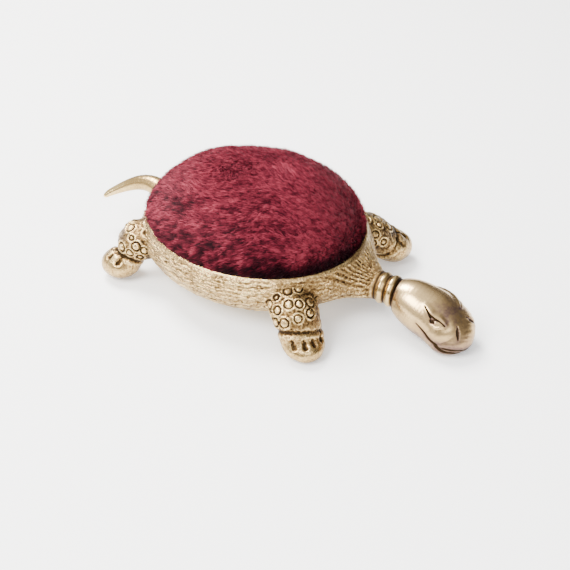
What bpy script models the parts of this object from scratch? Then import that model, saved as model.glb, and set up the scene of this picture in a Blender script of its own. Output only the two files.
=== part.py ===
"""Turtle pincushion with a pull-out tape measure in its body. Metres, +Z up, the turtle faces +X."""

import math

import bmesh
import bpy
from mathutils import Vector

MM = 0.001

# Driving dimensions, in millimetres, measured from the centre of the body opening.
RIM_HALF_LENGTH = 34.0  # body opening, along X
RIM_RATIO = 0.87  # width over length of the body, its base plate and the cushion
RIM_TOP = 20.6
BODY_BOTTOM = 6.0
NOSE_X = 73.0
TAIL_TIP_X = -57.4
CENTRE_X = (NOSE_X + TAIL_TIP_X) / 2  # puts the origin under the middle of the whole turtle

GAP = 0.3  # between pieces that touch on the real one
ROUND_STEPS = 44

# Tape measure
REEL_X, REEL_Y = -4.0, -3.0
TAPE_WIDTH = 6.35
TAPE_THICK = 0.22
TAPE_LOW = 8.5
TAPE_HIGH = TAPE_LOW + TAPE_WIDTH
TAPE_AXIS_Z = (TAPE_LOW + TAPE_HIGH) / 2
HUB_RADIUS = 7.9
COIL_RADIUS = 12.6
FLANGE_RADIUS = 13.6
CASE_RADIUS = 18.8
SHEET_THICK = 0.4
SPINDLE_RADIUS = 1.6
GUIDE_PIN_RADIUS = 0.8
GUIDE_PIN_AT = 16.3  # from the reel's axis

# Neck and head
COLLAR_END_X = 48.9
HEAD_BACK_X = 49.5
SLOT_WIDTH = 1.2
SLOT_HEIGHT = 7.2
HEAD_SLOT_DEPTH = 7.5
SET_PIN_RADIUS = 0.7

# Cushion stack
LEDGE_TOP = 16.5
LEDGE_RADIUS = 31.5
HEM_LOW, HEM_HIGH = 16.8, 17.5
BOARD_LOW, BOARD_HIGH = 17.8, 18.8
DOME_TOP = 36.6
COVER_THICK = 1.2
COVER_RADIUS = 34.3

# Base plate and its screws
PLATE_RADIUS = 29.4
PLATE_THICK = 0.9
FLANGE_INNER = 27.0
SCREW_RING = 26.5
SCREW_ANGLES = (40.0, 180.0, 320.0)
BOSS_RADIUS = 2.6
SCREW_RADIUS = 1.0
SCREW_HEAD_RADIUS = 1.9


def clear_scene():
    for obj in list(bpy.data.objects):
        bpy.data.objects.remove(obj)


def make_collection(name):
    collection = bpy.data.collections.new(name)
    bpy.context.scene.collection.children.link(collection)
    return collection


clear_scene()
PARTS = make_collection("turtle_pincushion")
CUTTERS = make_collection("cutters")
FRAME = bpy.data.objects.new("turtle_frame", None)
FRAME.location = (-CENTRE_X * MM, 0, 0)
PARTS.objects.link(FRAME)


def make_material(name, colour, roughness, metallic=0.0):
    material = bpy.data.materials.new(name)
    material.use_nodes = True
    shader = material.node_tree.nodes["Principled BSDF"]
    shader.inputs["Base Color"].default_value = (*colour, 1.0)
    shader.inputs["Roughness"].default_value = roughness
    shader.inputs["Metallic"].default_value = metallic
    return material


GOLD_TONE = make_material("antique_gold_cast", (0.62, 0.52, 0.33), 0.42, 1.0)
GOLD_POLISHED = make_material("polished_gold_head", (0.72, 0.60, 0.40), 0.22, 1.0)
BRASS_SHEET = make_material("brass_sheet", (0.66, 0.54, 0.30), 0.35, 1.0)
STEEL = make_material("steel", (0.50, 0.50, 0.50), 0.35, 1.0)
TIN = make_material("tinned_sheet", (0.62, 0.62, 0.60), 0.40, 1.0)
VELVET = make_material("crimson_velvet", (0.30, 0.02, 0.05), 0.90)
WADDING = make_material("wadding", (0.80, 0.76, 0.66), 0.95)
CARD = make_material("grey_card", (0.45, 0.40, 0.33), 0.90)
THREAD = make_material("linen_thread", (0.70, 0.64, 0.52), 0.80)
TAPE_CLOTH = make_material("tape_cloth", (0.88, 0.84, 0.68), 0.60)


def add_object(name, mesh, material, collection=PARTS):
    obj = bpy.data.objects.new(name, mesh)
    collection.objects.link(obj)
    obj.parent = FRAME
    if material is not None:
        mesh.materials.append(material)
    if collection is CUTTERS:
        obj.hide_render = True
        obj.display_type = "WIRE"
    return obj


def smooth(obj, angle=35.0):
    obj.data.shade_smooth()
    obj.data.set_sharp_from_angle(angle=math.radians(angle))


def ellipse_turned(name, profile, material, collection=PARTS, at=(0.0, 0.0), ratio=RIM_RATIO):
    """Turns (radius, height) points about Z, closing the profile, and flattens the result to an ellipse."""
    mesh = bpy.data.meshes.new(name)
    points = [(r * MM, 0.0, z * MM) for r, z in profile]
    on_axis = profile[0][0] == 0 and profile[-1][0] == 0
    edges = [(i, i + 1) for i in range(len(points) - 1)]
    if not on_axis:
        edges.append((len(points) - 1, 0))
    mesh.from_pydata(points, edges, [])
    obj = add_object(name, mesh, material, collection)
    screw = obj.modifiers.new("turn", "SCREW")
    screw.steps = ROUND_STEPS
    screw.render_steps = ROUND_STEPS
    screw.use_merge_vertices = True
    screw.merge_threshold = 0.00001
    obj.scale = (1.0, ratio, 1.0)
    obj.location = (at[0] * MM, at[1] * MM, 0.0)
    return obj


def turned(name, profile, material, at=(0.0, 0.0), collection=PARTS):
    return ellipse_turned(name, profile, material, collection, at, 1.0)


def cylinder(name, radius, low, high, at, material, collection=PARTS, steps=24):
    mesh = bpy.data.meshes.new(name)
    shape = bmesh.new()
    bmesh.ops.create_cone(shape, cap_ends=True, segments=steps, radius1=radius * MM,
                          radius2=radius * MM, depth=(high - low) * MM)
    shape.to_mesh(mesh)
    shape.free()
    obj = add_object(name, mesh, material, collection)
    obj.location = (at[0] * MM, at[1] * MM, (low + high) / 2 * MM)
    return obj


def box(name, low, high, collection=CUTTERS, material=None):
    mesh = bpy.data.meshes.new(name)
    shape = bmesh.new()
    bmesh.ops.create_cube(shape, size=1.0)
    size = [(b - a) * MM for a, b in zip(low, high)]
    bmesh.ops.scale(shape, vec=size, verts=shape.verts)
    shape.to_mesh(mesh)
    shape.free()
    obj = add_object(name, mesh, material, collection)
    obj.location = [(a + b) / 2 * MM for a, b in zip(low, high)]
    return obj


def combine(obj, other, operation):
    boolean = obj.modifiers.new(f"{operation.lower()}_{other.name}", "BOOLEAN")
    boolean.operation = operation
    boolean.object = other


def loft(name, stations, material=None, collection=CUTTERS, sides=16):
    """A closed skin over elliptical sections. A station is (x, y, z, half width, half height)."""
    centres = [Vector(s[:3]) for s in stations]
    shape = bmesh.new()
    rings = []
    for i, (_, _, _, half_width, half_height) in enumerate(stations):
        along = (centres[min(i + 1, len(centres) - 1)] - centres[max(i - 1, 0)]).normalized()
        across = along.cross(Vector((0, 0, 1))).normalized()
        up = across.cross(along)
        ring = []
        for k in range(sides):
            turn = 2 * math.pi * k / sides
            point = centres[i] + across * (half_width * math.cos(turn)) + up * (half_height * math.sin(turn))
            ring.append(shape.verts.new(point * MM))
        rings.append(ring)
    for first, second in zip(rings, rings[1:]):
        for k in range(sides):
            nxt = (k + 1) % sides
            shape.faces.new((first[k], first[nxt], second[nxt], second[k]))
    shape.faces.new(rings[0][::-1])
    shape.faces.new(rings[-1])
    bmesh.ops.recalc_face_normals(shape, faces=shape.faces)
    mesh = bpy.data.meshes.new(name)
    shape.to_mesh(mesh)
    shape.free()
    return add_object(name, mesh, material, collection)


def ribbon(name, path, low, high, thick, material):
    """A strip of sheet standing on edge along a path in the XY plane."""
    points = [(x * MM, y * MM, z * MM) for z in (low, high) for x, y in path]
    count = len(path)
    faces = [(i, i + 1, count + i + 1, count + i) for i in range(count - 1)]
    mesh = bpy.data.meshes.new(name)
    mesh.from_pydata(points, [], faces)
    obj = add_object(name, mesh, material)
    solidify = obj.modifiers.new("thickness", "SOLIDIFY")
    solidify.thickness = thick * MM
    solidify.offset = 0.0
    return obj


# ---------------------------------------------------------------- the cast body

OUTER_WALL = [(35.0, RIM_TOP), (36.2, 18.6), (36.8, 16.4), (36.8, 14.2), (36.1, 12.0),
              (34.6, 9.6), (32.6, 7.6), (30.9, 6.3), (30.3, BODY_BOTTOM)]

# Stations along each limb: x, y, z, half width, half height
FRONT_LEG = [(21.0, -19.0, 14.2, 6.2, 4.6), (24.8, -21.6, 14.4, 6.7, 5.4), (28.0, -24.0, 12.0, 6.8, 5.5),
             (30.8, -26.0, 8.2, 6.5, 4.4), (33.0, -27.6, 4.2, 6.8, 4.3), (35.2, -29.2, 2.6, 6.5, 3.4),
             (37.0, -30.5, 1.9, 4.8, 2.6)]
REAR_LEG = [(-20.5, -18.0, 14.2, 6.0, 4.8), (-24.6, -20.4, 14.9, 6.6, 5.5), (-28.2, -22.4, 12.8, 6.7, 5.5),
            (-31.2, -23.6, 8.6, 6.2, 4.4), (-33.2, -24.4, 4.3, 6.4, 4.2), (-35.4, -25.5, 2.6, 6.2, 3.4),
            (-37.2, -26.4, 1.9, 4.6, 2.6)]
NECK = [(29.0, 0, 13.4, 17.0, 6.4), (33.0, 0, 13.2, 13.0, 6.3), (36.5, 0, 12.8, 8.2, 5.6),
        (39.5, 0, 12.3, 5.9, 4.9), (42.0, 0, 11.9, 4.7, 4.4), (43.4, 0, TAPE_AXIS_Z, 4.1, 4.1)]
TAIL = [(-32.5, 1.2, 14.2, 4.4, 3.6), (-36.5, 2.0, 16.2, 3.6, 3.2), (-41.0, 2.6, 17.2, 3.0, 2.8),
        (-45.5, 2.2, 16.8, 2.6, 2.4), (-49.6, 0.8, 15.2, 2.2, 2.0), (-53.2, -1.2, 13.4, 1.7, 1.5),
        (-55.6, -3.0, 12.2, 1.2, 1.1), (TAIL_TIP_X + 0.4, -4.2, 11.4, 0.6, 0.6)]
# Points down the collar's profile: x, radius
COLLAR = [(42.6, 3.9), (43.5, 3.9), (43.9, 4.4), (45.3, 4.5), (45.8, 3.9), (46.2, 3.9),
          (46.6, 4.5), (48.2, 4.6), (COLLAR_END_X, 4.2)]


def mirrored(stations):
    return [(x, -y, z, half_width, half_height) for x, y, z, half_width, half_height in stations]


def turned_along_x(name, profile, collection=CUTTERS):
    """Turns (x, radius) points about the tape's axis, with flat ends."""
    outline = [(0.0, profile[-1][0])] + [(r, x) for x, r in reversed(profile)] + [(0.0, profile[0][0])]
    obj = turned(name, outline, None, collection=collection)
    obj.rotation_euler = (0.0, math.radians(90), 0.0)
    obj.location = (0.0, 0.0, TAPE_AXIS_Z * MM)
    return obj


def screw_places():
    for degrees in SCREW_ANGLES:
        turn = math.radians(degrees)
        yield SCREW_RING * math.cos(turn), SCREW_RING * RIM_RATIO * math.sin(turn)


def make_body_casting():
    solid = [(0.0, RIM_TOP)] + OUTER_WALL + [(0.0, BODY_BOTTOM)]
    casting = ellipse_turned("body_casting", solid, GOLD_TONE)
    for name, stations in (("front_leg_right", FRONT_LEG), ("front_leg_left", mirrored(FRONT_LEG)),
                           ("rear_leg_right", REAR_LEG), ("rear_leg_left", mirrored(REAR_LEG)),
                           ("neck", NECK), ("tail", TAIL)):
        combine(casting, loft(name, stations), "UNION")
    combine(casting, turned_along_x("collar", COLLAR), "UNION")
    ledge_low = LEDGE_TOP - 1.4
    cavity = [(0.0, RIM_TOP + 1), (RIM_HALF_LENGTH, RIM_TOP + 1), (RIM_HALF_LENGTH, LEDGE_TOP),
              (LEDGE_RADIUS, LEDGE_TOP), (LEDGE_RADIUS, ledge_low), (34.3, ledge_low - 1.2),
              (34.0, 12.0), (32.4, 9.8), (30.2, 8.6), (FLANGE_INNER, 8.4),
              (FLANGE_INNER, BODY_BOTTOM + PLATE_THICK + GAP), (29.7, BODY_BOTTOM + PLATE_THICK + GAP),
              (29.7, BODY_BOTTOM - 1), (0.0, BODY_BOTTOM - 1)]
    combine(casting, ellipse_turned("cavity", cavity, None, CUTTERS), "DIFFERENCE")
    half = SLOT_HEIGHT / 2
    slot = box("tape_slot", (30.0, -SLOT_WIDTH / 2, TAPE_AXIS_Z - half),
               (COLLAR_END_X + 1, SLOT_WIDTH / 2, TAPE_AXIS_Z + half))
    combine(casting, slot, "DIFFERENCE")
    mouth = box("tape_slot_mouth", (26.0, -1.2, TAPE_AXIS_Z - half), (GUIDE.x + 1, 1.8, TAPE_AXIS_Z + half))
    combine(casting, mouth, "DIFFERENCE")
    combine(casting, box("ground", (-70, -60, -8), (80, 60, 0)), "DIFFERENCE")
    for i, place in enumerate(screw_places(), 1):
        low = BODY_BOTTOM + PLATE_THICK + GAP + 0.1
        combine(casting, cylinder(f"boss_{i}", BOSS_RADIUS, low, 13.0, place, None, CUTTERS), "UNION")
        hole = cylinder(f"boss_hole_{i}", SCREW_RADIUS + GAP, low - 1.0, 11.8, place, None, CUTTERS, 16)
        combine(casting, hole, "DIFFERENCE")
    smooth(casting)


def make_base():
    low, high = BODY_BOTTOM, BODY_BOTTOM + PLATE_THICK
    profile = [(0.0, high), (PLATE_RADIUS, high), (PLATE_RADIUS, low), (0.0, low)]
    plate = ellipse_turned("base_plate", profile, BRASS_SHEET)
    for i, (x, y) in enumerate(screw_places(), 1):
        hole = cylinder(f"plate_hole_{i}", SCREW_RADIUS + GAP, low - 1, high + 1, (x, y), None, CUTTERS, 16)
        combine(plate, hole, "DIFFERENCE")
        head_low = low - GAP - 0.9
        screw = turned(f"base_screw_{i}",
                       [(0.0, 11.0), (SCREW_RADIUS * 0.6, 11.0), (SCREW_RADIUS, 10.2), (SCREW_RADIUS, low - GAP),
                        (SCREW_HEAD_RADIUS, low - GAP), (SCREW_HEAD_RADIUS, head_low + 0.4),
                        (SCREW_HEAD_RADIUS * 0.75, head_low), (0.0, head_low)], STEEL, (x, y))
        screw.modifiers["turn"].steps = screw.modifiers["turn"].render_steps = 20
        slot = box(f"screw_slot_{i}", (x - 3, y - 0.25, head_low - 1), (x + 3, y + 0.25, head_low + 0.45))
        combine(screw, slot, "DIFFERENCE")


# ---------------------------------------------------------------- the tape measure

CASE_LOW = BODY_BOTTOM + PLATE_THICK + GAP
LOWER_FLANGE = CASE_LOW + SHEET_THICK + GAP
UPPER_FLANGE = TAPE_HIGH + 0.15
LID_LOW = UPPER_FLANGE + 0.35 + 0.25
REEL = (REEL_X, REEL_Y)
GUIDE = Vector((34.0, 0.0))  # where the tape enters the neck
LEAVE_RADIUS = COIL_RADIUS + GAP + TAPE_THICK / 2


def tape_line():
    """Where the tape leaves the coil, on its left side, and its direction from there to the guide."""
    centre = Vector(REEL)
    away = GUIDE - centre
    angle = math.atan2(away.y, away.x) + math.acos(LEAVE_RADIUS / away.length)
    leave = centre + Vector((math.cos(angle), math.sin(angle))) * LEAVE_RADIUS
    return leave, (GUIDE - leave).normalized()


def make_case():
    top = LID_LOW - 0.2
    wall_in = CASE_RADIUS - SHEET_THICK
    floor_high = CASE_LOW + SHEET_THICK
    hole = SPINDLE_RADIUS - 0.6 + GAP
    cup = turned("case_cup", [(CASE_RADIUS, top), (CASE_RADIUS, CASE_LOW), (hole, CASE_LOW), (hole, floor_high),
                              (wall_in, floor_high), (wall_in, top)], TIN, REEL)
    leave, along = tape_line()
    mouth = box("case_mouth", (-4, -1.6, TAPE_LOW - 0.7), (4, 1.6, top + 1))
    crossing = leave + along * math.sqrt(CASE_RADIUS**2 - LEAVE_RADIUS**2)
    mouth.location = (crossing.x * MM, crossing.y * MM, mouth.location.z)
    mouth.rotation_euler = (0, 0, math.atan2(along.y, along.x))
    combine(cup, mouth, "DIFFERENCE")
    turned("case_lid", [(CASE_RADIUS, LID_LOW + SHEET_THICK), (CASE_RADIUS, LID_LOW), (hole, LID_LOW),
                        (hole, LID_LOW + SHEET_THICK)], TIN, REEL)
    tenon = SPINDLE_RADIUS - 0.6
    turned("spindle", [(0.0, LID_LOW + SHEET_THICK), (tenon, LID_LOW + SHEET_THICK), (tenon, UPPER_FLANGE + 0.3),
                       (SPINDLE_RADIUS, UPPER_FLANGE + 0.3), (SPINDLE_RADIUS, LOWER_FLANGE), (tenon, LOWER_FLANGE),
                       (tenon, CASE_LOW), (0.0, CASE_LOW)], STEEL, REEL)
    across = Vector((-along.y, along.x))
    pin_middle = leave + along * math.sqrt(GUIDE_PIN_AT**2 - LEAVE_RADIUS**2)
    offset = GUIDE_PIN_RADIUS + TAPE_THICK / 2 + GAP
    for name, side in (("guide_pin_left", 1), ("guide_pin_right", -1)):
        place = pin_middle + across * (side * offset)
        cylinder(name, GUIDE_PIN_RADIUS, floor_high + GAP, top - 0.1, place, STEEL, steps=20)


def make_reel():
    lower_high = LOWER_FLANGE + 0.4
    bore = SPINDLE_RADIUS + GAP
    turned("spool", [(HUB_RADIUS - 0.3, UPPER_FLANGE - 0.15), (HUB_RADIUS - 0.3, lower_high),
                     (FLANGE_RADIUS, lower_high), (FLANGE_RADIUS, LOWER_FLANGE), (bore, LOWER_FLANGE),
                     (bore, lower_high), (HUB_RADIUS - 0.9, lower_high), (HUB_RADIUS - 0.9, UPPER_FLANGE - 0.15)],
           TIN, REEL)
    turned("spool_flange", [(FLANGE_RADIUS, UPPER_FLANGE + 0.35), (FLANGE_RADIUS, UPPER_FLANGE),
                            (bore, UPPER_FLANGE), (bore, UPPER_FLANGE + 0.35)], TIN, REEL)
    turned("tape_coil", [(COIL_RADIUS, TAPE_HIGH), (COIL_RADIUS, TAPE_LOW), (HUB_RADIUS, TAPE_LOW),
                         (HUB_RADIUS, TAPE_HIGH)], TAPE_CLOTH, REEL)
    turns, steps_each = 4, 20
    inner, outer = SPINDLE_RADIUS + 0.35, HUB_RADIUS - 1.3
    spiral = []
    for i in range(turns * steps_each + 1):
        share = i / (turns * steps_each)
        turn = 2 * math.pi * turns * share
        radius = inner + (outer - inner) * share
        spiral.append((REEL_X + radius * math.cos(turn), REEL_Y + radius * math.sin(turn)))
    ribbon("mainspring", spiral, TAPE_LOW + 0.4, TAPE_HIGH - 0.4, 0.2, STEEL)


def make_tape_strip():
    start, _ = tape_line()
    path = [tuple(start.lerp(GUIDE, i / 8)) for i in range(9)]
    end = HEAD_BACK_X + HEAD_SLOT_DEPTH - 1.0
    path += [(x, 0.0) for x in (36.0, 39.0, 42.0, 45.0, 48.0, 51.0, end)]
    ribbon("tape_strip", path, TAPE_LOW, TAPE_HIGH, TAPE_THICK, TAPE_CLOTH)


# ---------------------------------------------------------------- the head

HEAD = [(HEAD_BACK_X, 0, TAPE_AXIS_Z, 4.3, 4.3), (50.6, 0, TAPE_AXIS_Z - 0.1, 5.3, 5.1), (53.0, 0, 10.9, 6.8, 6.3),
        (56.0, 0, 9.9, 7.8, 7.2), (59.5, 0, 8.7, 8.2, 7.7), (63.0, 0, 7.6, 8.2, 7.3), (66.5, 0, 6.5, 7.6, 6.3),
        (69.4, 0, 5.6, 6.5, 5.1), (71.6, 0, 4.9, 4.6, 3.6), (NOSE_X - 0.3, 0, 4.5, 1.9, 1.3)]


def make_head():
    head = loft("head_casting", HEAD, GOLD_POLISHED, PARTS, 20)
    half = SLOT_HEIGHT / 2
    slot = box("head_slot", (HEAD_BACK_X - 1, -SLOT_WIDTH / 2, TAPE_AXIS_Z - half),
               (HEAD_BACK_X + HEAD_SLOT_DEPTH, SLOT_WIDTH / 2, TAPE_AXIS_Z + half))
    combine(head, slot, "DIFFERENCE")
    pin_x = HEAD_BACK_X + HEAD_SLOT_DEPTH - 2.5
    bore = cylinder("set_pin_bore", SET_PIN_RADIUS + GAP, 0, 12, (pin_x, 0), None, CUTTERS, 16)
    pin = cylinder("tape_set_pin", SET_PIN_RADIUS, 0, 6.4, (pin_x, 0), STEEL, steps=16)
    for obj, middle in ((bore, 6.0 + SLOT_WIDTH / 4), (pin, 3.2 + SLOT_WIDTH / 4)):
        obj.location = (pin_x * MM, middle * MM, TAPE_AXIS_Z * MM)
        obj.rotation_euler = (math.radians(90), 0, 0)
    combine(head, bore, "DIFFERENCE")
    smooth(head)


# ---------------------------------------------------------------- the cushion

def dome_profile(radius, top, low, steps=7, fullness=2.3):
    """Points down a crowned dome, from its top on the axis to its edge."""
    points = []
    for i in range(steps + 1):
        share = math.sin(math.pi / 2 * i / steps)
        height = (1 - share**fullness) ** (1 / 2.0)
        points.append((radius * share, low + (top - low) * height))
    return points


def make_cushion():
    ellipse_turned("cushion_board", [(0.0, BOARD_HIGH), (31.9, BOARD_HIGH), (31.9, BOARD_LOW), (0.0, BOARD_LOW)],
                   CARD)
    shoulder = RIM_TOP + 0.9
    outside = dome_profile(COVER_RADIUS, DOME_TOP, shoulder)
    inside = dome_profile(COVER_RADIUS - COVER_THICK, DOME_TOP - COVER_THICK, shoulder)
    outside += [(33.6, RIM_TOP + 0.2), (33.5, HEM_LOW + 0.4), (33.0, HEM_LOW), (27.4, HEM_LOW), (27.4, HEM_HIGH)]
    outside += [(32.2, HEM_HIGH), (32.4, RIM_TOP + 0.2)]
    ellipse_turned("velvet_cover", outside + inside[::-1], VELVET)
    filling = dome_profile(COVER_RADIUS - COVER_THICK - GAP - 0.2, DOME_TOP - COVER_THICK - GAP, shoulder)
    filling += [(32.0, RIM_TOP + 0.2), (31.6, BOARD_HIGH + GAP), (0.0, BOARD_HIGH + GAP)]
    ellipse_turned("cushion_filling", filling, WADDING)
    ring = [(26.6 + 0.3 * math.cos(a), HEM_LOW - 0.05 + 0.3 * math.sin(a))
            for a in [math.radians(-72 * i) for i in range(5)]]
    ellipse_turned("gather_thread", ring, THREAD)


make_body_casting()
make_base()
make_case()
make_reel()
make_tape_strip()
make_head()
make_cushion()
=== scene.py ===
"""The looks of the turtle pincushion: sculpted gold-tone castings, a plush cushion and a pull-out tape.

Sculpting works in millimetres, measured from the middle of the body's opening on the table: +X towards the
head, +Y to the turtle's left, +Z up. to_frame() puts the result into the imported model's frame, in metres.
"""
import math

import bpy
import numpy as np
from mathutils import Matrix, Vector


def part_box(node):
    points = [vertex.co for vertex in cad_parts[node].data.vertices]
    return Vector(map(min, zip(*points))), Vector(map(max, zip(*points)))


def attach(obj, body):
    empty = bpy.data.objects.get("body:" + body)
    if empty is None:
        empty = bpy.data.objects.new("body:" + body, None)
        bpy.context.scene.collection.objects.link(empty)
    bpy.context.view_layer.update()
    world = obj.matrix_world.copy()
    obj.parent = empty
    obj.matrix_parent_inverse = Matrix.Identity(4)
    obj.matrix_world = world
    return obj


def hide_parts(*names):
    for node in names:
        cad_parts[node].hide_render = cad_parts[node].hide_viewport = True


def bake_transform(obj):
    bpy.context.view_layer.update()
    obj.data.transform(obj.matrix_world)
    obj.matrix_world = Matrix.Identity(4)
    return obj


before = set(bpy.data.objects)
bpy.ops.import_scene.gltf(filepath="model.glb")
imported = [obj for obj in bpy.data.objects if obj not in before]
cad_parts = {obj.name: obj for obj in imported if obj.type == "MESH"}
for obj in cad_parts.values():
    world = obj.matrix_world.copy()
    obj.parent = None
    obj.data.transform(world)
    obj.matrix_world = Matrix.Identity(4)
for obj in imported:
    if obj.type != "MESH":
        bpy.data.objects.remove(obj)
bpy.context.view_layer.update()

import openvdb
from mathutils import Matrix, Vector
from mathutils.kdtree import KDTree

MM = 0.001
RANDOM = np.random.default_rng(20240611)


# ---- sizes read from the frame

def box_mm(node):
    """A CAD node's lowest and highest corner, in sculpting millimetres."""
    low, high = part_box(node)
    return [np.array(corner) / MM - OPENING_CENTRE for corner in (low, high)]


BOARD_LOW, BOARD_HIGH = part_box("cushion_board")
OPENING_CENTRE = np.array([(BOARD_LOW.x + BOARD_HIGH.x) / 2, 0.0, 0.0]) / MM
BOARD = box_mm("cushion_board")
PLATE = box_mm("base_plate")
COVER = box_mm("velvet_cover")
CASTING = box_mm("body_casting")
HEAD_BOX = box_mm("head_casting")
COIL = box_mm("tape_coil")
STRIP = box_mm("tape_strip")

WIDTH_RATIO = BOARD[1][1] / BOARD[1][0]
RIM_TOP = CASTING[1][2]
SKIRT_LOW = PLATE[0][2]
OPENING = COVER[1][0] - 0.3
COLLAR_END = CASTING[1][0]
HEAD_BACK = HEAD_BOX[0][0]
NOSE = HEAD_BOX[1][0]
TAIL_TIP = CASTING[0][0]
NECK_Z = (STRIP[0][2] + STRIP[1][2]) / 2
TAPE_WIDTH = STRIP[1][2] - STRIP[0][2]
SLOT_HALF_HEIGHT = TAPE_WIDTH / 2 + 0.4
SLOT_HALF_WIDTH = 0.6

CASTING_STEP = 0.3  # grid step of the sculpted body
HEAD_STEP = 0.16


# ---- clay: signed distances on a grid

def smooth_union(a, b, blend):
    share = np.clip(0.5 + 0.5 * (b - a) / blend, 0.0, 1.0)
    return b * (1 - share) + a * share - blend * share * (1 - share)


def smooth_cut(a, b, blend):
    """a with b taken away."""
    return -smooth_union(-a, b, blend)


def smooth_both(a, b, blend):
    """What lies inside both a and b."""
    return -smooth_union(-a, -b, blend)


def smooth_step(low, high, values):
    share = np.clip((values - low) / (high - low), 0.0, 1.0)
    return share * share * (3 - 2 * share)


def bell(values, middle, width):
    """1 at the middle, falling off smoothly to both sides."""
    return np.exp(-((values - middle) / width) ** 2)


def oval_radius(x, y):
    """The distance from the middle, in ovals of the rim's proportions, as measured along X."""
    return np.hypot(x, y / WIDTH_RATIO)


class Clay:
    """Signed distances in millimetres on a grid, negative inside the shape. It starts as the given shape."""

    def __init__(self, low, high, step, shape):
        self.low = np.array(low, float)
        self.step = step
        counts = np.ceil((np.array(high) - self.low) / step).astype(int) + 1
        self.high = self.low + step * counts
        self.axes = [self.low[i] + step * np.arange(counts[i]) for i in range(3)]
        self.field = np.empty(counts, np.float32)
        cut, *places = self.block(self.low, self.high)
        self.field[cut] = shape(*places)

    def block(self, low, high):
        """The part of the grid inside a box, and its x, y and z."""
        cut = []
        for i in range(3):
            first = max(0, int((low[i] - self.low[i]) / self.step))
            last = max(first + 1, int((high[i] - self.low[i]) / self.step) + 2)
            cut.append(slice(first, last))
        x, y, z = (axis[part].astype(np.float32) for axis, part in zip(self.axes, cut))
        return tuple(cut), x[:, None, None], y[None, :, None], z[None, None, :]

    def combine(self, join, shape, blend, box=None):
        """Joins a shape to the clay inside a box, or everywhere."""
        cut, *places = self.block(*(box or (self.low, self.high)))
        self.field[cut] = join(self.field[cut], shape(*places), blend)

    def skin(self):
        """The surface as (points in millimetres, quads)."""
        grid = openvdb.FloatGrid(background=9.0)
        grid.copyFromArray(np.ascontiguousarray(self.field))
        points, quads = grid.convertToQuads(isovalue=0.0)
        return points * self.step + self.low, np.asarray(quads, np.int64)


def flowing(stations, per_gap):
    """A smooth Catmull-Rom row of stations through the given ones."""
    knots = np.array(stations, float)
    knots = np.vstack([2 * knots[0] - knots[1], knots, 2 * knots[-1] - knots[-2]])
    rows = []
    for i in range(1, len(knots) - 2):
        before, first, last, after = knots[i - 1:i + 3]
        for k in range(per_gap):
            t = k / per_gap
            rows.append(0.5 * (2 * first + (last - before) * t
                               + (2 * before - 5 * first + 4 * last - after) * t**2
                               + (3 * first - before - 3 * last + after) * t**3))
    rows.append(knots[-2])
    return np.array(rows)


def cross_axes(along):
    along = along / np.linalg.norm(along)
    across = np.cross(along, (0.0, 0.0, 1.0))
    across = across / np.linalg.norm(across)
    return along, across, np.cross(across, along)


def dotted(offset, direction):
    """How far an (x, y, z) offset reaches along a direction."""
    return offset[0] * direction[0] + offset[1] * direction[1] + offset[2] * direction[2]


def limb(stations, per_gap=3):
    """The shape of a limb with elliptical sections. A station is (x, y, z, half width, half height)."""
    rows = flowing(stations, per_gap)

    def shape(x, y, z):
        whole = None
        for first, last in zip(rows, rows[1:]):
            start, step = first[:3], last[:3] - first[:3]
            along, across, up = cross_axes(step)
            offset = x - start[0], y - start[1], z - start[2]
            share = np.clip(dotted(offset, step) / (step @ step), 0, 1)
            offset = [gap - part * share for gap, part in zip(offset, step)]
            wide = first[3] + (last[3] - first[3]) * share
            tall = first[4] + (last[4] - first[4]) * share
            least = np.minimum(wide, tall)
            sideways, upward = dotted(offset, across) / wide, dotted(offset, up) / tall
            onward = dotted(offset, along) / least
            piece = (np.sqrt(sideways**2 + upward**2 + onward**2) - 1) * least
            whole = piece if whole is None else np.minimum(whole, piece)
        return whole

    return shape


def reach(stations, margin):
    """The lowest and highest corner of a box round stations or points."""
    rows = np.array(stations, float)
    spread = rows[:, 3:].max() if rows.shape[1] > 3 else 0.0
    return rows[:, :3].min(0) - spread - margin, rows[:, :3].max(0) + spread + margin


# ---- noise, meshes and attributes

def lattice_noise(points, seed):
    """Smooth noise from -1 to 1 at unit scale, one value for each point."""
    table = np.random.default_rng(seed).uniform(-1, 1, (32, 32, 32))
    floor = np.floor(points).astype(int)
    part = points - floor
    part = part * part * (3 - 2 * part)
    total = np.zeros(len(points))
    for corner in np.ndindex(2, 2, 2):
        index = (floor + corner) % 32
        weight = np.prod(np.where(corner, part, 1 - part), axis=1)
        total += weight * table[index[:, 0], index[:, 1], index[:, 2]]
    return total


def layered_noise(points, seed, layers=3):
    total = np.zeros(len(points))
    for i in range(layers):
        total += lattice_noise(points * 2.1**i, seed + i) * 0.5**i
    return total


def nearest(points, centres):
    """The distance from each point to the nearest centre, and which centre that is."""
    tree = KDTree(len(centres))
    for i, centre in enumerate(centres):
        tree.insert(centre, i)
    tree.balance()
    found = [tree.find(point)[1:] for point in points]
    which, distance = zip(*found)
    return np.array(distance), np.array(which)


def to_frame(points):
    return (np.asarray(points, float) + OPENING_CENTRE) * MM


def add_object(name, data):
    obj = bpy.data.objects.new(name, data)
    bpy.context.scene.collection.objects.link(obj)
    return obj


def add_mesh(name, mesh, material):
    mesh.shade_smooth()
    mesh.materials.append(material)
    return add_object(name, mesh)


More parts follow.
